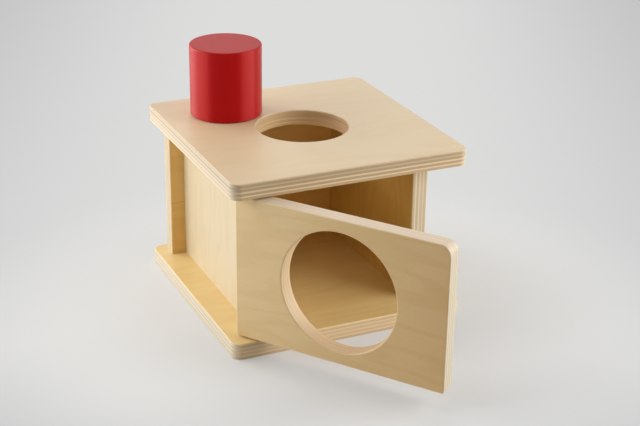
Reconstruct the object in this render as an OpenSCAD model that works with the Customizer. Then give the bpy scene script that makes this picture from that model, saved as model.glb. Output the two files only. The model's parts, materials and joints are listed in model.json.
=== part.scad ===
// Object permanence box: a plywood box with a round hole in its top plate, a swinging
// door with a large round opening, and a loose cylinder to drop through the top.
// Millimetres, +Z up. The origin is the centre of the base plate's underside, and the
// front, where the door is, faces -Y. The door stands open at open_angle.

/* [Boards] */
// Width of the base and top plates, along X
plate_w = 200; // [170:1:300]
// Depth of the base and top plates, along Y
plate_d = 200; // [170:1:300]
// Thickness of every plywood board
board_t = 13.5; // [12:0.5:18]
// Radius of the plates' upright corners
corner_r = 8; // [4:0.5:20]
// Radius of the sanded arrises
arris_r = 1; // [0.5:0.1:1.5]

/* [Box] */
// Clear height between the base plate and the top plate
inner_h = 120; // [112:1:180]
// From the plates' side edges in to the ends of the back wall and of the closed door
side_inset = 11; // [6:0.5:20]
// From the plates' front edge in to the front of the closed door
front_inset = 8; // [4:0.5:15]
// From the plates' rear edge in to the back wall
back_inset = 9; // [4:0.5:25]
// Diameter of the hole in the middle of the top plate
top_hole_d = 76; // [62:1:90]

/* [Door] */
// Angle at which the door stands open, from 0 when closed
open_angle = 54; // [0:0.5:260]
// Diameter of the round opening in the middle of the door
door_hole_d = 97.5; // [64:0.5:104]
// From the door's hinge end in to its pivot axis
hinge_inset = 5.5; // [5:0.5:8]
// Radius of the door's upper free corner
door_corner_r = 9; // [3:0.5:20]
// Radius of the door's other three corners
door_square_r = 2; // [1.6:0.1:4]
// Gap between the door and each plate
plate_gap = 1; // [0.5:0.1:3]
// Gap between the closed door and the fronts of the side walls
wall_gap = 0.75; // [0.3:0.05:2]
// Gap between the left wall and the door as it swings past
swing_gap = 0.5; // [0.3:0.05:2]

/* [Cylinder] */
// Diameter of the loose cylinder
cylinder_d = 60; // [40:1:60]
// Height of the loose cylinder
cylinder_h = 60; // [30:1:90]
// Radius of the cylinder's rims
cylinder_rim_r = 1.5; // [0.5:0.1:4]
// From the plates' left edge to the cylinder's axis
cylinder_from_left = 54.5; // [35:0.5:70]
// From the plates' rear edge to the cylinder's axis
cylinder_from_back = 45.5; // [35:0.5:60]

/* [Pivot pins] */
// Diameter of the steel pivot pins
pin_d = 5; // [3:0.5:6]
// Length of pin that turns in each plate
pin_in_plate = 8; // [5:0.5:9]
// Length of pin pressed into the door
pin_in_door = 16; // [8:1:30]
// Running clearance round the pins in the plates
pin_clearance = 0.05; // [0.02:0.01:0.1]
// Free depth above the upper pin
pin_end_play = 1; // [0.5:0.1:2]
// Chamfer on the ends of the pins
pin_chamfer = 0.5; // [0.2:0.1:1]

/* [Dowels] */
// Diameter of the wooden dowels
dowel_d = 6; // [4:0.5:8]
// Depth of each dowel in the face of a board
dowel_in_face = 9; // [5:0.5:10]
// Depth of each dowel in the edge of a board
dowel_in_edge = 15; // [8:1:20]
// Glue gap round each dowel
glue_gap = 0.05; // [0.02:0.01:0.15]
// Glue space at each end of a dowel
glue_end_gap = 0.5; // [0.2:0.1:1]
// Chamfer on the ends of the dowels
dowel_chamfer = 0.8; // [0.2:0.1:1.5]
// From the ends of a wall to its outer dowels, along the plates
dowel_inset = 25; // [20:1:40]
// From the plates to the dowels in the back corners
corner_dowel_inset = 30; // [26:1:45]

/* [Hidden] */
$fn = 96;

birch = "burlywood";
beech = "tan";
steel = "silver";
red_paint = "firebrick";

// Amount by which a cut runs past the face that it opens
overcut = 1;

// Heights of the two faces that the walls stand between, and of the plates' outside
floor_z = board_t;
ceiling_z = floor_z + inner_h;
top_z = ceiling_z + board_t;

// The back wall and the door are equally wide
panel_w = plate_w - 2 * side_inset;

// Pivot axis, in the middle of the door's thickness
pivot_x = -panel_w / 2 + hinge_inset;
pivot_y = -plate_d / 2 + front_inset + board_t / 2;

// Door, in its own frame: the pivot axis is the origin and the closed door lies along +X
door_h = inner_h - 2 * plate_gap;
door_bottom_z = floor_z + plate_gap;
door_top_z = ceiling_z - plate_gap;
door_middle_x = panel_w / 2 - hinge_inset;
door_middle_z = (door_bottom_z + door_top_z) / 2;

// Side walls, clear of the closed door and of the door as it swings past the left one
wall_outer_x = -pivot_x - board_t / 2 - swing_gap;
wall_middle_x = wall_outer_x - board_t / 2;
wall_front_y = pivot_y + board_t / 2 + wall_gap;
back_face_y = plate_d / 2 - back_inset - board_t;
back_middle_y = back_face_y + board_t / 2;
wall_d = back_face_y - wall_front_y;

// Where dowels join the walls to the plates, seen from above
side_dowel_ys = [wall_front_y + dowel_inset, back_face_y - dowel_inset];
back_dowel_x = panel_w / 2 - dowel_inset;
dowel_places = concat(
  [for (x = [-wall_middle_x, wall_middle_x], y = side_dowel_ys) [x, y]],
  [for (x = [-back_dowel_x, 0, back_dowel_x]) [x, back_middle_y]]
);
corner_dowel_zs = [floor_z + corner_dowel_inset, ceiling_z - corner_dowel_inset];

// What a corner at the origin, with its board towards -X and -Y, loses when it is rounded
module corner_waste(r) {
  difference() {
    translate([-r, -r]) square(2 * r);
    translate([-r, -r]) circle(r);
  }
}

// Rectangle with rounded corners, radii given from the +X +Y corner anticlockwise
module rounded_rect(w, h, radii) {
  difference() {
    square([w, h], center = true);
    for (k = [0:3]) {
      across = k % 2 == 0 ? [w, h] : [h, w];
      rotate(90 * k) translate(across / 2) corner_waste(radii[k]);
    }
  }
}

// What the upper rim of a rounded rectangle at z = 0 loses when its arris is sanded round
module rim_waste(w, h, radii) {
  for (k = [0:3]) {
    across = k % 2 == 0 ? [w, h] : [h, w];
    r = radii[k];
    run = across.x - r - radii[(k + 1) % 4];
    rotate(90 * k) translate([across.x / 2 - r, across.y / 2 - r, 0]) {
      rotate_extrude(angle = 90) translate([r, 0]) corner_waste(arris_r);
      translate([-run, r, 0]) rotate([90, 0, 90]) linear_extrude(run) corner_waste(arris_r);
    }
  }
}

// Board lying on z = 0, with rounded corners and every arris sanded
module sanded_board(w, h, radii) {
  difference() {
    linear_extrude(board_t) rounded_rect(w, h, radii);
    translate([0, 0, board_t]) rim_waste(w, h, radii);
    mirror([0, 0, 1]) rim_waste(w, h, radii);
  }
}

// Round hole through a board lying on z = 0, with both rims sanded
module sanded_hole(d) {
  rotate_extrude() difference() {
    translate([0, -overcut]) square([d / 2 + arris_r, board_t + 2 * overcut]);
    translate([d / 2, arris_r]) square([arris_r, board_t - 2 * arris_r]);
    for (z = [arris_r, board_t - arris_r]) translate([d / 2 + arris_r, z]) circle(arris_r);
  }
}

// Round peg along +Z, with both ends chamfered
module peg(d, length, chamfer) {
  rotate_extrude() polygon([
    [0, 0], [d / 2 - chamfer, 0], [d / 2, chamfer],
    [d / 2, length - chamfer], [d / 2 - chamfer, length], [0, length]
  ]);
}

// Dowel across a joint at z = 0, with the board's face below and the edge of the wall above
module dowel() {
  translate([0, 0, -dowel_in_face]) peg(dowel_d, dowel_in_face + dowel_in_edge, dowel_chamfer);
}

// Hole for that dowel in both boards
module dowel_hole() {
  depth = dowel_in_face + dowel_in_edge + 2 * glue_end_gap;
  translate([0, 0, -dowel_in_face - glue_end_gap]) cylinder(h = depth, d = dowel_d + 2 * glue_gap);
}

// Joints of the walls with the base plate
module at_base_joints() {
  for (p = dowel_places) translate([p.x, p.y, floor_z]) children();
}

// Joints of the walls with the top plate
module at_top_joints() {
  for (p = dowel_places) translate([p.x, p.y, ceiling_z]) mirror([0, 0, 1]) children();
}

// Joints of the side walls with the back wall
module at_corner_joints() {
  for (x = [-wall_middle_x, wall_middle_x], z = corner_dowel_zs)
    translate([x, back_face_y, z]) rotate([90, 0, 0]) children();
}

// All the dowel holes, for cutting any of the boards
module dowel_holes() {
  at_base_joints() dowel_hole();
  at_top_joints() dowel_hole();
  at_corner_joints() dowel_hole();
}

// Pivot hole that opens at z = 0 and runs down
module pivot_hole(depth) {
  translate([pivot_x, pivot_y, -depth]) cylinder(h = depth + overcut, d = pin_d + 2 * pin_clearance);
}

// Moves a piece of the door from the door's own frame to where the door stands open
module on_open_door() {
  translate([pivot_x, pivot_y, 0]) rotate(-open_angle) children();
}

module plate() {
  sanded_board(plate_w, plate_d, [for (k = [0:3]) corner_r]);
}

// The left wall, whose front arrises are sanded; its other edges meet the plates and the back wall
module side_wall() {
  translate([-wall_middle_x, 0, floor_z]) linear_extrude(inner_h) difference() {
    translate([-board_t / 2, wall_front_y]) square([board_t, wall_d]);
    for (side = [0, 1]) mirror([side, 0])
      translate([board_t / 2, wall_front_y]) mirror([0, 1]) corner_waste(arris_r);
  }
}

module base_plate() {
  color(birch) difference() {
    plate();
    translate([0, 0, floor_z]) pivot_hole(pin_in_plate);
    dowel_holes();
  }
}

module top_plate() {
  color(birch) difference() {
    translate([0, 0, ceiling_z]) difference() {
      plate();
      sanded_hole(top_hole_d);
      mirror([0, 0, 1]) pivot_hole(pin_in_plate + pin_end_play);
    }
    dowel_holes();
  }
}

module left_wall() {
  color(birch) difference() {
    side_wall();
    dowel_holes();
  }
}

module right_wall() {
  color(birch) difference() {
    mirror([1, 0, 0]) side_wall();
    dowel_holes();
  }
}

module back_wall() {
  color(birch) difference() {
    translate([0, back_middle_y, floor_z]) linear_extrude(inner_h)
      rounded_rect(panel_w, board_t, [for (k = [0:3]) arris_r]);
    dowel_holes();
  }
}

module door() {
  radii = [door_corner_r, door_square_r, door_square_r, door_square_r];
  color(birch) on_open_door() difference() {
    translate([door_middle_x, board_t / 2, door_middle_z]) rotate([90, 0, 0]) difference() {
      sanded_board(panel_w, door_h, radii);
      sanded_hole(door_hole_d);
    }
    translate([0, 0, door_bottom_z - overcut]) cylinder(h = pin_in_door + overcut, d = pin_d);
    translate([0, 0, door_top_z - pin_in_door]) cylinder(h = pin_in_door + overcut, d = pin_d);
  }
}

// Pin from the floor of its hole in the base plate up into the door
module lower_pivot_pin() {
  color(steel) on_open_door() translate([0, 0, floor_z - pin_in_plate])
    peg(pin_d, pin_in_plate + plate_gap + pin_in_door, pin_chamfer);
}

// Pin from the door up into the top plate
module upper_pivot_pin() {
  color(steel) on_open_door() translate([0, 0, door_top_z - pin_in_door])
    peg(pin_d, pin_in_plate + plate_gap + pin_in_door, pin_chamfer);
}

module base_dowels() {
  color(beech) at_base_joints() dowel();
}

module top_dowels() {
  color(beech) at_top_joints() dowel();
}

module corner_dowels() {
  color(beech) at_corner_joints() dowel();
}

// Cylinder with rounded rims, standing on the top plate
module loose_cylinder() {
  place = [-plate_w / 2 + cylinder_from_left, plate_d / 2 - cylinder_from_back, top_z];
  color(red_paint) translate(place) rotate_extrude() difference() {
    square([cylinder_d / 2, cylinder_h]);
    translate([cylinder_d / 2, cylinder_h]) corner_waste(cylinder_rim_r);
    translate([cylinder_d / 2, 0]) mirror([0, 1]) corner_waste(cylinder_rim_r);
  }
}

base_plate();
top_plate();
left_wall();
right_wall();
back_wall();
door();
lower_pivot_pin();
upper_pivot_pin();
base_dowels();
top_dowels();
corner_dowels();
loose_cylinder();
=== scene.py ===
import json
import math

import bpy
from mathutils import Matrix, Vector


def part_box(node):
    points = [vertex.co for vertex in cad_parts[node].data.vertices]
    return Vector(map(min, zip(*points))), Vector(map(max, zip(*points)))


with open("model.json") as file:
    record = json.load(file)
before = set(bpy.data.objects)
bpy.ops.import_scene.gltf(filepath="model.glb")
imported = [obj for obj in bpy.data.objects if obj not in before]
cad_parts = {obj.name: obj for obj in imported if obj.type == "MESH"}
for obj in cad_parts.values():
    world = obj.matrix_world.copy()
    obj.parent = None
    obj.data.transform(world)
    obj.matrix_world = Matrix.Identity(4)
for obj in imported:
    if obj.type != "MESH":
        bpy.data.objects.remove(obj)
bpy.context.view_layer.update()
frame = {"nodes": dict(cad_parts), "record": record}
scene = bpy.context.scene
mounts = {mount["name"]: mount for mount in frame["record"]["mounts"]}
joints = {joint["name"]: joint for joint in frame["record"]["behaviour"]["joints"]}
mmPerM = 1000.0
print("frame loaded with", len(frame["nodes"]), "nodes")


def linearColour(code):  # "#rrggbb" in sRGB to linear RGBA
    shares = [int(code[i:i + 2], 16) / 255 for i in (1, 3, 5)]
    return [s / 12.92 if s <= 0.04045 else ((s + 0.055) / 1.055) ** 2.4 for s in shares] + [1.0]


def addNode(tree, kind, feeds=None, **settings):
    # feeds gives each input a socket to be linked to or a fixed value.
    # A Mix has its share at 0, its numbers at 2 and 3, vectors at 4 and 5 and colours at 6 and 7.
    node = tree.nodes.new("ShaderNode" + kind)
    for key, value in settings.items():
        setattr(node, key, value)
    for port, feed in (feeds or {}).items():
        if isinstance(feed, bpy.types.NodeSocket):
            tree.links.new(feed, node.inputs[port])
        else:
            node.inputs[port].default_value = feed
    return node


def newMaterial(name):
    material = bpy.data.materials.new(name)
    material.use_nodes = True
    material.node_tree.nodes.clear()
    return material, material.node_tree


def dress(nodeName, material):
    for holder in frame["nodes"][nodeName].material_slots:
        holder.material = material


def seenShare(tree):
    # 1 for what the camera sees straight, in a reflection or through something clear, otherwise 0
    path = addNode(tree, "LightPath")
    share = path.outputs["Is Camera Ray"]
    for ray in ("Is Glossy Ray", "Is Transmission Ray"):
        either = addNode(tree, "Math", {0: share, 1: path.outputs[ray]}, operation="MAXIMUM")
        share = either.outputs[0]
    return share


# Camera, at the photograph's viewing angle
cameraSet = {
    "placeM": (-0.44652, -1.00311, 0.54427),
    "yawDeg": 24.814,
    "pitchDeg": 23.402,
    "rollDeg": 0.860,
    "lensMm": 80.03,
    "sensorMm": 36.0,
    "clipM": (0.01, 50.0),
}
cameraData = bpy.data.cameras.new("camera")
cameraData.sensor_fit = "HORIZONTAL"
cameraData.sensor_width = cameraSet["sensorMm"]
cameraData.lens = cameraSet["lensMm"]
cameraData.clip_start, cameraData.clip_end = cameraSet["clipM"]
camera = bpy.data.objects.new("camera", cameraData)
scene.collection.objects.link(camera)
camera.matrix_world = (
    Matrix.Translation(cameraSet["placeM"])
    @ Matrix.Rotation(math.radians(-cameraSet["yawDeg"]), 4, "Z")
    @ Matrix.Rotation(math.radians(90 - cameraSet["pitchDeg"]), 4, "X")
    @ Matrix.Rotation(math.radians(cameraSet["rollDeg"]), 4, "Z")
)
scene.camera = camera
scene.view_settings.view_transform = "Standard"
print("camera placed")


# Birch plywood, cross-laid and glued, sanded to rounded arrises and given a thin satin lacquer.
# The eye gets a pale warm face with a faint rotary-cut figure and short pores, and nine plies on
# every cut edge: a ply cut across its fibres looks darker and duller than one cut along them.
plywoodSet = {
    "layUpMm": (0.6, 1.9, 1.3, 1.9, 1.5, 1.9, 1.3, 1.9, 1.2),
    "plyWanderMm": 0.22,     # how far a glue line strays from its level
    "wanderLengthMm": 38.0,
    "skinMm": 0.02,          # keeps the depth inside the two faces
    "glueMm": 0.16,
    "glue": "#7d5a36",
    "glueShare": 0.30,
    "fibreLengthMm": 26.0,
    "fibreWidthMm": 0.9,     # real fibres are under 0.1 mm, drawn coarser so that they show
    "fibreFineness": 0.62,   # how strongly the finer steps of the pattern show
    "figureLengthMm": 150.0,
    "figureWidthMm": 34.0,
    "figureFineness": 0.45,
    "figureRings": 7.0,
    "ringFrom": -0.2,        # where on its wave a growth ring starts to darken
    "poreLengthMm": 7.0,
    "poreWidthMm": 0.8,      # real pores are about 0.1 mm wide, drawn coarser so that they show
    "poreRange": (0.62, 0.74),  # the noise that turns into a pore
    "cloudMm": 75.0,
    "cloudSeed": 20.0,
    "plySeed": 3.7,          # steps between the seeds of two plies and of two boards
    "boardSeed": 11.3,
    "fibreLate": 0.45,       # what each pattern adds to the share of darker late wood
    "ringLate": 0.28,
    "cloudLate": 0.70,
    "poreLate": 0.45,
    "sumLate": 0.72,         # what these come to on average
    "middleLate": 0.47,      # the share that such an average place gets
    "jointMm": 0.5,          # a veneer joint is a hair line, drawn coarser so that it shows
    "joint": "#8a6030",
    "jointShare": 0.55,
    "arrisMm": 1.0,
    "holeWall": "#d9b37e",   # the colour mixed onto the wall of a round hole, warmer than the other cut edges
    "holeShare": 0.55,
    "cutLeast": 0.70,        # share of the cut colour on the palest fibres, and what the darkest add
    "cutGrit": 0.5,
    "ior": 1.5,
    "faceRoughness": 0.40,
    "cutRoughness": 0.56,
    "roughnessSpread": 0.10,
    "poreDip": -0.6,         # pores lie lower than the fibres
    "reliefM": 0.00005,
    "reliefStrength": 0.5,
}
boardMm = sum(plywoodSet["layUpMm"])
numberRange = 10.0  # a ply's number is kept as a share of this
# axes are the grain, the way across it and the depth, once the board is turned square to the frame.
# face and late are the outer veneer, the next pair the one that faces inside, on innerSide; that inner pair
# is drawn warmer as painted bounce light and shade, since the wood inside is the same.
# edge and cut are plies along and across their fibres at the sides of the grain, the others at its ends; a
# board's side and end colours differ partly as painted light and shade, paler on edges that the lamps light
# and darker on edges in shade.
plainBoard = {
    "turnDeg": 0.0,
    "driftPerMm": 0.0,       # how much darker the colour grows along the grain, from middleMm on, by the share of the late colour
    "middleMm": 0.0,
    "jointAtMm": None,       # where two strips of the inner veneer meet
    "hole": None,
    "face": "#d8c6a2", "late": "#cdb589", "inner": "#dabb74", "innerLate": "#cca65b",
    "edge": "#dcc9a7", "cut": "#c2af90", "endEdge": "#d0be9e", "endCut": "#b8a689",
}
# Each board's colours are partly its own, as real boards differ, and partly painted light and shade: the
# brightly lit left wall is drawn less saturated, and the base, lit by light bounced off the left wall, and
# the door, in half-shade, warmer.
boards = {
    "top_plate": {
        **plainBoard, "axes": "XYZ", "seed": 1.0, "figure": 0.55, "innerSide": -1.0, "hole": "top_hole",
        "face": "#dbc5a1", "late": "#d0b58d",
        # painted shade: the front and back edges are drawn darker; painted light: the left and right ends
        # are drawn paler
        "edge": "#d6bd97", "cut": "#b49a75", "endEdge": "#d6c4a8", "endCut": "#bfaf95",
        "tones": (1.00, 1.06, 1.08, 0.98, 1.06, 0.92, 0.82, 0.92, 0.86),
    },
    "base_plate": {
        **plainBoard, "axes": "XYZ", "seed": 2.0, "figure": 0.9, "innerSide": None,
        "face": "#e6cb8f", "late": "#dab877",
        "edge": "#e1c8a0", "cut": "#d0b289", "endEdge": "#d1c3aa", "endCut": "#c1b49e",
        "tones": (0.90, 0.94, 1.00, 1.03, 0.98, 1.04, 1.00, 1.00, 0.98),
    },
    "left_wall": {
        **plainBoard, "axes": "ZYX", "seed": 3.0, "figure": 0.8, "innerSide": 1.0,
        "face": "#d0c1a3", "late": "#c5b089",
        "tones": (1.00, 1.02, 0.96, 1.00, 1.04, 0.98, 1.02, 0.96, 1.00),
    },
    "right_wall": {
        **plainBoard, "axes": "ZYX", "seed": 4.0, "figure": 1.0, "innerSide": -1.0,
        "tones": (0.96, 1.00, 1.05, 0.98, 1.00, 1.04, 0.97, 1.02, 1.00),
    },
    "back_wall": {
        **plainBoard, "axes": "XZY", "seed": 5.0, "figure": 1.0, "innerSide": -1.0, "jointAtMm": 61.5,
        # painted bounce light and shade: the back wall's inner veneer, seen as the strip beside the left
        # wall, is drawn warmer and more orange still
        "inner": "#e8c277", "innerLate": "#dcad5e",
        "tones": (1.00, 0.98, 1.04, 1.00, 0.96, 1.02, 1.00, 1.04, 0.98),
    },
    "door": {
        **plainBoard, "axes": "XZY", "seed": 6.0, "figure": 0.5, "innerSide": 1.0, "hole": "door_hole",
        "turnDeg": -joints["door_hinge"]["range_deg"][0], "driftPerMm": 0.004, "middleMm": 95.0,
        "face": "#e1c592", "late": "#c9a36c", "inner": "#dfc08f", "innerLate": "#cda870",
        "edge": "#e0cbb0", "cut": "#d7c2a8", "endEdge": "#cabda2", "endCut": "#bcad94",
        "tones": (1.00, 1.02, 0.98, 1.00, 1.03, 0.97, 1.00, 1.02, 1.00),
    },
}


def boardPoint(board, point):  # a point of the frame, in mm along the board's own axes
    squared = Matrix.Rotation(math.radians(board["turnDeg"]), 3, "Z") @ Vector(point)
    return [mmPerM * squared["XYZ".index(axis)] for axis in board["axes"]]


def boardSpace(tree, board):
    # place in millimetres and facing, both along the board's own axes
    turn = (0.0, 0.0, math.radians(board["turnDeg"]))
    coords = addNode(tree, "TexCoord")
    place = addNode(tree, "Mapping", {"Vector": coords.outputs["Object"], "Rotation": turn,
                                      "Scale": (mmPerM, mmPerM, mmPerM)}, vector_type="POINT")
    facing = addNode(tree, "Mapping", {"Vector": coords.outputs["Normal"], "Rotation": turn},
                     vector_type="VECTOR")
    placeParts = addNode(tree, "SeparateXYZ", {0: place.outputs[0]})
    facingParts = addNode(tree, "SeparateXYZ", {0: facing.outputs[0]})
    space = {"place": place.outputs[0]}
    for way, axis in zip(("Along", "Across", "Deep"), board["axes"]):
        space["place" + way] = placeParts.outputs[axis]
        space["facing" + way] = facingParts.outputs[axis]
    return space


def layUpPlies(tree, name, board, space):
    # depth in the board, with the glue lines straying a little
    corners = frame["nodes"][name].data.vertices
    lowestMm = min(boardPoint(board, corner.co)[2] for corner in corners)
    depth = addNode(tree, "Math", {0: space["placeDeep"], 1: lowestMm}, operation="SUBTRACT")
    wander = addNode(tree, "TexNoise", {"Vector": space["place"], "W": board["seed"], "Detail": 1.0,
                                        "Scale": 1 / plywoodSet["wanderLengthMm"]}, noise_dimensions="4D")
    stray = addNode(tree, "MapRange", {"Value": wander.outputs["Fac"], "To Min": -plywoodSet["plyWanderMm"],
                                       "To Max": plywoodSet["plyWanderMm"]})
    strayed = addNode(tree, "Math", {0: depth.outputs[0], 1: stray.outputs[0]}, operation="ADD")
    inside = addNode(tree, "Clamp", {"Value": strayed.outputs[0], "Min": plywoodSet["skinMm"],
                                     "Max": boardMm - plywoodSet["skinMm"]})
    depthShare = addNode(tree, "Math", {0: inside.outputs[0], 1: boardMm}, operation="DIVIDE")

    # red tells the cross plies, green half the ply's tone, blue its number, alpha the glue lines
    layUp = addNode(tree, "ValToRGB", {0: depthShare.outputs[0]})
    ramp = layUp.color_ramp
    ramp.interpolation = "CONSTANT"
    ramp.elements.remove(ramp.elements[1])
    halfGlue = plywoodSet["glueMm"] / 2
    start = 0.0
    for number, (thick, tone) in enumerate(zip(plywoodSet["layUpMm"], board["tones"])):
        mark = (number % 2, tone / 2, number / numberRange)
        if number == 0:
            ramp.elements[0].color = (*mark, 0.0)
        else:
            glued = ramp.elements.new((start - halfGlue) / boardMm)
            glued.color = (*mark, 1.0)
            bare = ramp.elements.new((start + halfGlue) / boardMm)
            bare.color = (*mark, 0.0)
        start += thick
    marks = addNode(tree, "SeparateColor", {0: layUp.outputs["Color"]})

    # how squarely the surface cuts that ply's fibres: 0 along them, 1 across them
    tilt = addNode(tree, "Mix", {0: marks.outputs[0], 2: space["facingAlong"], 3: space["facingAcross"]},
                   data_type="FLOAT")
    cutAcross = addNode(tree, "Math", {0: tilt.outputs[0], 1: tilt.outputs[0]}, operation="MULTIPLY")
    plySeed = addNode(tree, "Math", {0: marks.outputs[2], 1: plywoodSet["plySeed"] * numberRange,
                                     2: plywoodSet["boardSeed"] * board["seed"]}, operation="MULTIPLY_ADD")
    return {"depth": inside.outputs[0], "cross": marks.outputs[0], "halfTone": marks.outputs[1],
            "glue": layUp.outputs["Alpha"], "cutAcross": cutAcross.outputs[0], "seed": plySeed.outputs[0]}


def growWood(tree, board, space, plies):
    # fibres, drawn out along each ply's own direction
    along, across = space["placeAlong"], space["placeAcross"]
    fine, drawn = 1 / plywoodSet["fibreWidthMm"], 1 / plywoodSet["fibreLengthMm"]
    scaleAlong = addNode(tree, "Mix", {0: plies["cross"], 2: drawn, 3: fine}, data_type="FLOAT")
    scaleAcross = addNode(tree, "Mix", {0: plies["cross"], 2: fine, 3: drawn}, data_type="FLOAT")
    fibreX = addNode(tree, "Math", {0: along, 1: scaleAlong.outputs[0]}, operation="MULTIPLY")
    fibreY = addNode(tree, "Math", {0: across, 1: scaleAcross.outputs[0]}, operation="MULTIPLY")
    fibreZ = addNode(tree, "Math", {0: plies["depth"], 1: fine}, operation="MULTIPLY")
    fibreSpot = addNode(tree, "CombineXYZ", {0: fibreX.outputs[0], 1: fibreY.outputs[0],
                                             2: fibreZ.outputs[0]})
    fibre = addNode(tree, "TexNoise", {"Vector": fibreSpot.outputs[0], "W": plies["seed"], "Scale": 1.0,
                                       "Detail": 3.0, "Roughness": plywoodSet["fibreFineness"]},
                    noise_dimensions="4D")

    # rotary-cut figure: growth rings as level lines of a field drawn out along the grain
    figureX = addNode(tree, "Math", {0: along, 1: plywoodSet["figureLengthMm"]}, operation="DIVIDE")
    figureY = addNode(tree, "Math", {0: across, 1: plywoodSet["figureWidthMm"]}, operation="DIVIDE")
    figureSpot = addNode(tree, "CombineXYZ", {0: figureX.outputs[0], 1: figureY.outputs[0]})
    field = addNode(tree, "TexNoise", {"Vector": figureSpot.outputs[0], "W": plies["seed"], "Scale": 1.0,
                                       "Detail": 2.0, "Roughness": plywoodSet["figureFineness"]},
                    noise_dimensions="4D")
    ringPhase = addNode(tree, "Math", {0: field.outputs["Fac"], 1: 2 * math.pi * plywoodSet["figureRings"]},
                        operation="MULTIPLY")
    ringWave = addNode(tree, "Math", {0: ringPhase.outputs[0]}, operation="SINE")
    rings = addNode(tree, "MapRange", {"Value": ringWave.outputs[0], "From Min": plywoodSet["ringFrom"],
                                       "From Max": 1.0}, interpolation_type="SMOOTHSTEP")

    # pores: short dark dashes along the face grain
    poreX = addNode(tree, "Math", {0: along, 1: plywoodSet["poreLengthMm"]}, operation="DIVIDE")
    poreY = addNode(tree, "Math", {0: across, 1: plywoodSet["poreWidthMm"]}, operation="DIVIDE")
    poreSpot = addNode(tree, "CombineXYZ", {0: poreX.outputs[0], 1: poreY.outputs[0], 2: plies["seed"]})
    poreField = addNode(tree, "TexNoise", {"Vector": poreSpot.outputs[0], "W": board["seed"], "Scale": 1.0,
                                           "Detail": 1.0}, noise_dimensions="4D")
    pores = addNode(tree, "MapRange", {"Value": poreField.outputs["Fac"],
                                       "From Min": plywoodSet["poreRange"][0],
                                       "From Max": plywoodSet["poreRange"][1]},
                    interpolation_type="SMOOTHSTEP")

    # slow clouds of warmer wood
    cloudSeed = board["seed"] + plywoodSet["cloudSeed"]
    cloud = addNode(tree, "TexNoise", {"Vector": space["place"], "W": cloudSeed, "Detail": 2.0,
                                       "Scale": 1 / plywoodSet["cloudMm"]}, noise_dimensions="4D")

    # share of the darker late wood: the figure's strength is the board's own, about a middle share
    late = addNode(tree, "Math", {0: fibre.outputs["Fac"], 1: plywoodSet["fibreLate"]},
                   operation="MULTIPLY")
    for pattern, weight in ((rings.outputs[0], plywoodSet["ringLate"]),
                            (cloud.outputs["Fac"], plywoodSet["cloudLate"]),
                            (pores.outputs[0], plywoodSet["poreLate"])):
        late = addNode(tree, "Math", {0: pattern, 1: weight, 2: late.outputs[0]}, operation="MULTIPLY_ADD")
    offset = plywoodSet["middleLate"] - plywoodSet["sumLate"] * board["figure"]
    figured = addNode(tree, "Math", {0: late.outputs[0], 1: board["figure"], 2: offset},
                      operation="MULTIPLY_ADD")
    fromMiddle = addNode(tree, "Math", {0: along, 1: board["middleMm"]}, operation="SUBTRACT")
    lateShare = addNode(tree, "Math", {0: fromMiddle.outputs[0], 1: board["driftPerMm"],
                                       2: figured.outputs[0]}, operation="MULTIPLY_ADD", use_clamp=True)
    return {"fibre": fibre.outputs["Fac"], "pores": pores.outputs[0], "late": lateShare.outputs[0]}


def veneerColour(tree, board, space, wood):
    outer = addNode(tree, "Mix", {0: wood["late"], 6: linearColour(board["face"]),
                                  7: linearColour(board["late"])}, data_type="RGBA")
    if board["innerSide"] is None:
        return outer.outputs[2]

    # painted bounce light and shade: the veneer that faces inside is drawn warmer
    inner = addNode(tree, "Mix", {0: wood["late"], 6: linearColour(board["inner"]),
                                  7: linearColour(board["innerLate"])}, data_type="RGBA")
    facesIn = addNode(tree, "Math", {0: space["facingDeep"], 1: 2 * board["innerSide"]},
                      operation="MULTIPLY", use_clamp=True)
    veneer = addNode(tree, "Mix", {0: facesIn.outputs[0], 6: outer.outputs[2], 7: inner.outputs[2]},
                     data_type="RGBA")
    if board["jointAtMm"] is None:
        return veneer.outputs[2]

    # a dark hair line where two strips of the inner veneer meet
    offJoint = addNode(tree, "Math", {0: space["placeAcross"], 1: board["jointAtMm"]}, operation="SUBTRACT")
    fromJoint = addNode(tree, "Math", {0: offJoint.outputs[0]}, operation="ABSOLUTE")
    jointShare = addNode(tree, "MapRange", {"Value": fromJoint.outputs[0],
                                            "From Max": plywoodSet["jointMm"],
                                            "To Min": plywoodSet["jointShare"], "To Max": 0.0})
    jointIn = addNode(tree, "Math", {0: jointShare.outputs[0], 1: facesIn.outputs[0]}, operation="MULTIPLY")
    joined = addNode(tree, "Mix", {0: jointIn.outputs[0], 6: veneer.outputs[2],
                                   7: linearColour(plywoodSet["joint"])}, data_type="RGBA")
    return joined.outputs[2]


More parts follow.
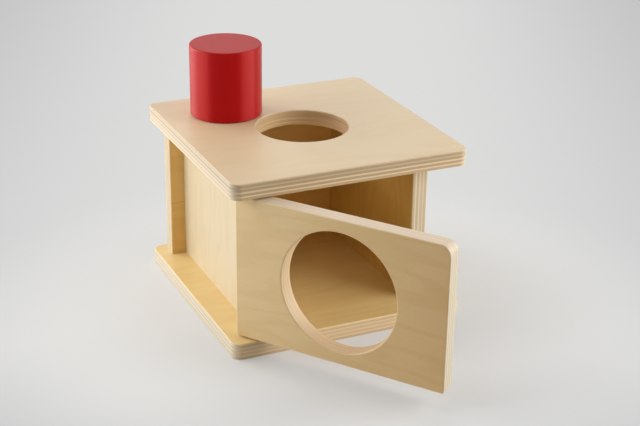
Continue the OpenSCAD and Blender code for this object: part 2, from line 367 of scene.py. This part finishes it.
def edgeColour(tree, board, space, plies, wood):
    # cut fibres are darker, and the ends of the grain have colours of their own, partly painted light and
    # shade: paler where the lamps light an edge, darker where it lies in shade
    atEnd = addNode(tree, "Math", {0: space["facingAlong"], 1: space["facingAlong"]}, operation="MULTIPLY",
                    use_clamp=True)
    edgeWood = addNode(tree, "Mix", {0: atEnd.outputs[0], 6: linearColour(board["edge"]),
                                     7: linearColour(board["endEdge"])}, data_type="RGBA")
    cutWood = addNode(tree, "Mix", {0: atEnd.outputs[0], 6: linearColour(board["cut"]),
                                    7: linearColour(board["endCut"])}, data_type="RGBA")
    cutGrit = addNode(tree, "Math", {0: wood["fibre"], 1: plywoodSet["cutGrit"], 2: plywoodSet["cutLeast"]},
                      operation="MULTIPLY_ADD")
    cutShare = addNode(tree, "Math", {0: plies["cutAcross"], 1: cutGrit.outputs[0]}, operation="MULTIPLY",
                       use_clamp=True)
    sawn = addNode(tree, "Mix", {0: cutShare.outputs[0], 6: edgeWood.outputs[2], 7: cutWood.outputs[2]},
                   data_type="RGBA")
    colour = sawn.outputs[2]

    # warmer on the wall of the board's round hole
    if board["hole"]:
        hole = mounts[board["hole"]]
        middle = boardPoint(board, hole["pos_m"])
        reachMm = hole["dims"]["r_mm"] + plywoodSet["arrisMm"]
        spot = addNode(tree, "CombineXYZ", {0: space["placeAlong"], 1: space["placeAcross"]})
        fromHole = addNode(tree, "VectorMath", {0: spot.outputs[0], 1: (middle[0], middle[1], 0.0)},
                           operation="DISTANCE")
        inHole = addNode(tree, "Math", {0: fromHole.outputs["Value"], 1: reachMm}, operation="LESS_THAN")
        warmShare = addNode(tree, "Math", {0: inHole.outputs[0], 1: plywoodSet["holeShare"]},
                            operation="MULTIPLY")
        holeWarmed = addNode(tree, "Mix", {0: warmShare.outputs[0], 6: colour,
                                       7: linearColour(plywoodSet["holeWall"])}, data_type="RGBA")
        colour = holeWarmed.outputs[2]

    # each ply has its own tone, and the glue shows as a thin brown line
    plyTone = addNode(tree, "Math", {0: plies["halfTone"], 1: 2.0}, operation="MULTIPLY")
    toned = addNode(tree, "HueSaturation", {"Color": colour, "Value": plyTone.outputs[0]})
    glueShare = addNode(tree, "Math", {0: plies["glue"], 1: plywoodSet["glueShare"]}, operation="MULTIPLY")
    glued = addNode(tree, "Mix", {0: glueShare.outputs[0], 6: toned.outputs[0],
                                  7: linearColour(plywoodSet["glue"])}, data_type="RGBA")
    return glued.outputs[2]


def birchPlywood(name, board):
    material, tree = newMaterial("lacqueredBirchPly_" + name)
    space = boardSpace(tree, board)
    plies = layUpPlies(tree, name, board, space)
    wood = growWood(tree, board, space, plies)
    onFace = addNode(tree, "Math", {0: space["facingDeep"], 1: space["facingDeep"]}, operation="MULTIPLY",
                     use_clamp=True)
    colour = addNode(tree, "Mix", {0: onFace.outputs[0], 6: edgeColour(tree, board, space, plies, wood),
                                   7: veneerColour(tree, board, space, wood)}, data_type="RGBA")

    # satin on the faces, duller where the fibres are cut, and a trace of raised grain
    smoothest = plywoodSet["faceRoughness"] - plywoodSet["roughnessSpread"] / 2
    duller = plywoodSet["cutRoughness"] - plywoodSet["faceRoughness"]
    satin = addNode(tree, "Math", {0: wood["fibre"], 1: plywoodSet["roughnessSpread"], 2: smoothest},
                    operation="MULTIPLY_ADD")
    roughness = addNode(tree, "Math", {0: plies["cutAcross"], 1: duller, 2: satin.outputs[0]},
                        operation="MULTIPLY_ADD")
    relief = addNode(tree, "Math", {0: wood["pores"], 1: plywoodSet["poreDip"], 2: wood["fibre"]},
                     operation="MULTIPLY_ADD")
    bump = addNode(tree, "Bump", {"Height": relief.outputs[0], "Strength": plywoodSet["reliefStrength"],
                                  "Distance": plywoodSet["reliefM"]})
    surface = addNode(tree, "BsdfPrincipled", {"Base Color": colour.outputs[2], "IOR": plywoodSet["ior"],
                                               "Roughness": roughness.outputs[0],
                                               "Normal": bump.outputs[0]})
    addNode(tree, "OutputMaterial", {"Surface": surface.outputs[0]})
    return material


for boardName, board in boards.items():
    dress(boardName, birchPlywood(boardName, board))
print("plywood laid on", len(boards), "boards")


# Satin red nursery paint, sprayed on turned beech. The eye gets a deep even red, soft highlights drawn out
# upright by the lathe's grooves, a very fine orange peel and faint turning rings on the ends.
paintSet = {
    "red": "#ac0308",
    "deep": "#9b0206",
    "cloudMm": 30.0,
    "peelMm": 1.1,           # real orange peel is about 0.5 mm, drawn coarser so that it shows
    "ringMm": 1.6,           # lathe feed, drawn coarser than the real 0.3 mm so that it shows
    "ringHeight": 0.12,      # painted shade: the ends are drawn darker than the side
    "endShade": 0.86,        # end grain drinks more of the paint
    "ior": 1.5,
    "glossLevel": 0.82,      # a satin paint film is a little glossier than bare resin
    "roughness": 0.42,
    "roughnessSpread": 0.05,
    "stretch": 0.92,         # how far the grooves draw the highlights out
    "stretchTurn": 0.25,     # a quarter turn from the grooves
    "endStroke": (1.0, 0.0, 0.0),  # the ends are sanded in straight strokes
    "gleam": (1.0, 0.18, 0.16, 1.0),  # the pigment stands at the surface and tints the gloss
    "bloom": 0.09,           # a satin film looks paler where it is seen edge on
    "bloomRoughness": 0.45,
    "bloomTint": (1.0, 0.75, 0.72, 1.0),
    "reliefM": 0.00002,
    "reliefStrength": 0.4,
}


def redPaint():
    material, tree = newMaterial("satinRedPaintOnBeech")
    low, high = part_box("loose_cylinder")
    coords = addNode(tree, "TexCoord")
    place = addNode(tree, "Mapping", {"Vector": coords.outputs["Object"], "Scale": (mmPerM, mmPerM, mmPerM),
                                      "Location": (low + high) / 2 * -mmPerM}, vector_type="POINT")

    # colour, a little clouded, and darker on the ends as painted shade
    cloud = addNode(tree, "TexNoise", {"Vector": place.outputs[0], "Scale": 1 / paintSet["cloudMm"],
                                       "Detail": 2.0})
    coat = addNode(tree, "Mix", {0: cloud.outputs["Fac"], 6: linearColour(paintSet["red"]),
                                 7: linearColour(paintSet["deep"])}, data_type="RGBA")
    facing = addNode(tree, "SeparateXYZ", {0: coords.outputs["Normal"]})
    onEnd = addNode(tree, "Math", {0: facing.outputs["Z"]}, operation="ABSOLUTE")
    shade = addNode(tree, "MapRange", {"Value": onEnd.outputs[0], "To Min": 1.0,
                                       "To Max": paintSet["endShade"]})
    colour = addNode(tree, "HueSaturation", {"Color": coat.outputs[2], "Value": shade.outputs[0]})

    # orange peel, and the lathe's rings round the axis
    peel = addNode(tree, "TexNoise", {"Vector": place.outputs[0], "Scale": 1 / paintSet["peelMm"],
                                      "Detail": 2.0})
    roughness = addNode(tree, "MapRange", {"Value": peel.outputs["Fac"],
                                           "To Min": paintSet["roughness"] - paintSet["roughnessSpread"],
                                           "To Max": paintSet["roughness"] + paintSet["roughnessSpread"]})
    flat = addNode(tree, "VectorMath", {0: place.outputs[0], 1: (1.0, 1.0, 0.0)}, operation="MULTIPLY")
    radius = addNode(tree, "VectorMath", {0: flat.outputs[0]}, operation="LENGTH")
    ringPhase = addNode(tree, "Math", {0: radius.outputs["Value"], 1: 2 * math.pi / paintSet["ringMm"]},
                        operation="MULTIPLY")
    ringWave = addNode(tree, "Math", {0: ringPhase.outputs[0]}, operation="SINE")
    relief = addNode(tree, "Math", {0: ringWave.outputs[0], 1: paintSet["ringHeight"],
                                    2: peel.outputs["Fac"]}, operation="MULTIPLY_ADD")
    bump = addNode(tree, "Bump", {"Height": relief.outputs[0], "Strength": paintSet["reliefStrength"],
                                  "Distance": paintSet["reliefM"]})

    # grooves run round the side, sanding strokes straight over the ends
    groove = addNode(tree, "Tangent", direction_type="RADIAL", axis="Z")
    strokes = addNode(tree, "Mix", {0: onEnd.outputs[0], 4: groove.outputs[0], 5: paintSet["endStroke"]},
                      data_type="VECTOR")
    surface = addNode(tree, "BsdfPrincipled", {
        "Base Color": colour.outputs[0],
        "Roughness": roughness.outputs[0],
        "IOR": paintSet["ior"],
        "Specular IOR Level": paintSet["glossLevel"],
        "Specular Tint": paintSet["gleam"],
        "Tangent": strokes.outputs[1],
        "Anisotropic": paintSet["stretch"],
        "Anisotropic Rotation": paintSet["stretchTurn"],
        "Sheen Weight": paintSet["bloom"],
        "Sheen Roughness": paintSet["bloomRoughness"],
        "Sheen Tint": paintSet["bloomTint"],
        "Normal": bump.outputs[0],
    })
    addNode(tree, "OutputMaterial", {"Surface": surface.outputs[0]})
    return material


dress("loose_cylinder", redPaint())
print("cylinder painted")


# Beech dowel, turned by the mill and left bare. The eye gets a pinkish tan with short dark flecks.
dowelSet = {
    "wood": "#d8b48c",
    "fleck": "#a97e55",
    "fleckLengthMm": 2.4,
    "fleckWidthMm": 0.5,
    "fleckRange": (0.45, 0.75),  # the noise that turns into a fleck
    "ior": 1.5,
    "roughness": 0.62,
    "roughnessSpread": 0.06,
    "reliefM": 0.00005,
    "reliefStrength": 0.5,
}


def beechDowel(name, stretch):
    # stretch is the dowels' own direction as "X", "Y" or "Z"
    material, tree = newMaterial("turnedBeech_" + name)
    coords = addNode(tree, "TexCoord")
    long, short = mmPerM / dowelSet["fleckLengthMm"], mmPerM / dowelSet["fleckWidthMm"]
    scales = [long if axis == stretch else short for axis in "XYZ"]
    place = addNode(tree, "Mapping", {"Vector": coords.outputs["Object"], "Scale": scales},
                    vector_type="POINT")
    grain = addNode(tree, "TexNoise", {"Vector": place.outputs[0], "Scale": 1.0, "Detail": 3.0})
    fleck = addNode(tree, "MapRange", {"Value": grain.outputs["Fac"], "From Min": dowelSet["fleckRange"][0],
                                       "From Max": dowelSet["fleckRange"][1]})
    colour = addNode(tree, "Mix", {0: fleck.outputs[0], 6: linearColour(dowelSet["wood"]),
                                   7: linearColour(dowelSet["fleck"])}, data_type="RGBA")
    roughness = addNode(tree, "MapRange", {"Value": grain.outputs["Fac"],
                                           "To Min": dowelSet["roughness"] - dowelSet["roughnessSpread"],
                                           "To Max": dowelSet["roughness"] + dowelSet["roughnessSpread"]})
    bump = addNode(tree, "Bump", {"Height": grain.outputs["Fac"], "Strength": dowelSet["reliefStrength"],
                                  "Distance": dowelSet["reliefM"]})
    surface = addNode(tree, "BsdfPrincipled", {"Base Color": colour.outputs[2], "IOR": dowelSet["ior"],
                                               "Roughness": roughness.outputs[0],
                                               "Normal": bump.outputs[0]})
    addNode(tree, "OutputMaterial", {"Surface": surface.outputs[0]})
    return material


dress("base_dowels", beechDowel("base", "Z"))
dress("top_dowels", beechDowel("top", "Z"))
dress("corner_dowels", beechDowel("corner", "Y"))
print("dowels dressed")


# Bright steel rod, drawn through a die. The eye gets a clean grey metal with fine lines along its length.
pinSet = {
    "steel": "#c3c5c8",
    "shade": "#aeb1b5",
    "lineLengthMm": 9.0,
    "lineWidthMm": 0.15,
    "roughness": 0.30,
    "roughnessSpread": 0.08,
    "reliefM": 0.00001,
    "reliefStrength": 0.4,
}


def drawnSteel():
    material, tree = newMaterial("drawnSteelRod")
    coords = addNode(tree, "TexCoord")
    long, short = mmPerM / pinSet["lineLengthMm"], mmPerM / pinSet["lineWidthMm"]
    place = addNode(tree, "Mapping", {"Vector": coords.outputs["Object"], "Scale": (short, short, long)},
                    vector_type="POINT")
    lines = addNode(tree, "TexNoise", {"Vector": place.outputs[0], "Scale": 1.0, "Detail": 2.0})
    colour = addNode(tree, "Mix", {0: lines.outputs["Fac"], 6: linearColour(pinSet["steel"]),
                                   7: linearColour(pinSet["shade"])}, data_type="RGBA")
    roughness = addNode(tree, "MapRange", {"Value": lines.outputs["Fac"],
                                           "To Min": pinSet["roughness"] - pinSet["roughnessSpread"],
                                           "To Max": pinSet["roughness"] + pinSet["roughnessSpread"]})
    bump = addNode(tree, "Bump", {"Height": lines.outputs["Fac"], "Strength": pinSet["reliefStrength"],
                                  "Distance": pinSet["reliefM"]})
    surface = addNode(tree, "BsdfPrincipled", {"Base Color": colour.outputs[2], "Metallic": 1.0,
                                               "Roughness": roughness.outputs[0],
                                               "Normal": bump.outputs[0]})
    addNode(tree, "OutputMaterial", {"Surface": surface.outputs[0]})
    return material


pinSteel = drawnSteel()
dress("lower_pivot_pin", pinSteel)
dress("upper_pivot_pin", pinSteel)
print("pivot pins dressed")


# Matt grey-white paper, laid flat. Away from the object the camera sees it glow with painted light,
# darkened towards the sides and the front as painted shade; the object's shadow stays, with a little of the
# glow over it.
floorSet = {
    "sizeM": 12.0,
    "turnDeg": -25.1,        # the sheet runs straight away from the camera
    "paper": "#dededd",
    "fibreMm": 1.5,
    "reliefM": 0.0001,
    "reliefStrength": 0.1,
    "middlePaper": "#dddddc",
    "sidePaper": "#c0c1c1",
    "centreM": (0.025, -0.055, 0.0),
    "plainM": (0.17, 0.34),  # from the centre, where the glowing paper of painted light takes over
    "nearShare": 0.25,       # how much of the glow's painted light shows over the shadow
    "sideM": (0.10, 0.60),   # towards both sides the glow darkens as painted shade
    "frontM": (0.05, 0.25),  # and less towards the camera
    "frontShare": 0.65,
}


def paperFloor():
    half = floorSet["sizeM"] / 2
    corners = [(-half, -half, 0.0), (half, -half, 0.0), (half, half, 0.0), (-half, half, 0.0)]
    mesh = bpy.data.meshes.new("floor")
    mesh.from_pydata(corners, [], [(0, 1, 2, 3)])
    floor = bpy.data.objects.new("floor", mesh)
    floor.rotation_euler = (0.0, 0.0, math.radians(floorSet["turnDeg"]))
    scene.collection.objects.link(floor)

    # the paper that takes the light and the shadow
    material, tree = newMaterial("mattPaperSheet")
    coords = addNode(tree, "TexCoord")
    fibre = addNode(tree, "TexNoise", {"Vector": coords.outputs["Object"], "Detail": 2.0,
                                       "Scale": mmPerM / floorSet["fibreMm"]})
    relief = addNode(tree, "Bump", {"Height": fibre.outputs["Fac"], "Strength": floorSet["reliefStrength"],
                                    "Distance": floorSet["reliefM"]})
    paper = addNode(tree, "BsdfDiffuse", {"Color": linearColour(floorSet["paper"]),
                                          "Normal": relief.outputs[0]})

    # painted light: the paper glows for the camera, with painted shade darkening it to the sides and the
    # front
    parts = addNode(tree, "SeparateXYZ", {0: coords.outputs["Object"]})
    aside = addNode(tree, "Math", {0: parts.outputs["X"]}, operation="ABSOLUTE")
    toSide = addNode(tree, "MapRange", {"Value": aside.outputs[0], "From Min": floorSet["sideM"][0],
                                        "From Max": floorSet["sideM"][1]}, interpolation_type="SMOOTHSTEP")
    forward = addNode(tree, "Math", {0: parts.outputs["Y"], 1: -1.0}, operation="MULTIPLY")
    toFront = addNode(tree, "MapRange", {"Value": forward.outputs[0], "From Min": floorSet["frontM"][0],
                                         "From Max": floorSet["frontM"][1],
                                         "To Max": floorSet["frontShare"]},
                      interpolation_type="SMOOTHSTEP")
    fallOff = addNode(tree, "Math", {0: toSide.outputs[0], 1: toFront.outputs[0]}, operation="MAXIMUM")
    glowColour = addNode(tree, "Mix", {0: fallOff.outputs[0], 6: linearColour(floorSet["middlePaper"]),
                                        7: linearColour(floorSet["sidePaper"])}, data_type="RGBA")
    glowingPaper = addNode(tree, "Emission", {"Color": glowColour.outputs[2], "Strength": 1.0})

    # from one to the other with the distance from the object
    reach = addNode(tree, "VectorMath", {0: coords.outputs["Object"], 1: floorSet["centreM"]},
                    operation="DISTANCE")
    away = addNode(tree, "MapRange", {"Value": reach.outputs["Value"], "From Min": floorSet["plainM"][0],
                                      "From Max": floorSet["plainM"][1], "To Min": floorSet["nearShare"]},
                   interpolation_type="SMOOTHSTEP")
    glowShare = addNode(tree, "Math", {0: away.outputs[0], 1: seenShare(tree)}, operation="MULTIPLY")
    surface = addNode(tree, "MixShader", {0: glowShare.outputs[0], 1: paper.outputs[0],
                                          2: glowingPaper.outputs[0]})
    addNode(tree, "OutputMaterial", {"Surface": surface.outputs[0]})
    mesh.materials.append(material)


paperFloor()
print("floor laid")


# Soft boxes at both sides, above and behind, as in a small light tent
lampSet = {
    "leftBox": {
        "placeM": (-0.95, 0.12, 0.40), "aimM": (0.0, 0.0, 0.08), "sizeM": (0.60, 0.70), "watts": 6.5,
    },
    "leftRear": {
        "placeM": (-0.68, 0.72, 0.42), "aimM": (0.0, 0.0, 0.10), "sizeM": (0.70, 0.70), "watts": 7.0,
    },
    "rightBox": {
        "placeM": (0.75, -0.55, 0.40), "aimM": (0.0, -0.08, 0.08), "sizeM": (0.90, 0.70), "watts": 11.1,
    },
    "topBox": {  # weak, because it also shines in through the top hole
        "placeM": (-0.05, 0.22, 1.00), "aimM": (0.0, 0.0, 0.10), "sizeM": (0.90, 0.90), "watts": 3.2,
    },
    "backPanel": {
        "placeM": (0.10, 1.20, 0.75), "aimM": (0.0, 0.0, 0.12), "sizeM": (2.00, 0.90), "watts": 3.3,
    },
}
for lampName, lamp in lampSet.items():
    lampData = bpy.data.lights.new(lampName, "AREA")
    lampData.shape = "RECTANGLE"
    lampData.size, lampData.size_y = lamp["sizeM"]
    lampData.energy = lamp["watts"]
    lampObject = bpy.data.objects.new(lampName, lampData)
    scene.collection.objects.link(lampObject)
    lampObject.location = lamp["placeM"]
    beam = Vector(lamp["aimM"]) - Vector(lamp["placeM"])
    lampObject.rotation_mode = "QUATERNION"
    lampObject.rotation_quaternion = beam.to_track_quat("-Z", "Y")
    lampObject.visible_camera = False
print("lamps hung")

# The world fills the shadows a little, and looks pale where it is seen past the floor
worldSet = {"fill": "#ffffff", "fillStrength": 0.06, "seen": "#dfdfdf"}
world = bpy.data.worlds.new("tent")
scene.world = world
world.use_nodes = True
tent = world.node_tree
tent.nodes.clear()
fillLight = addNode(tent, "Background", {"Color": linearColour(worldSet["fill"]),
                                         "Strength": worldSet["fillStrength"]})
paleTent = addNode(tent, "Background", {"Color": linearColour(worldSet["seen"]), "Strength": 1.0})
tentMix = addNode(tent, "MixShader", {0: seenShare(tent), 1: fillLight.outputs[0], 2: paleTent.outputs[0]})
addNode(tent, "OutputWorld", {"Surface": tentMix.outputs[0]})
print("world set")
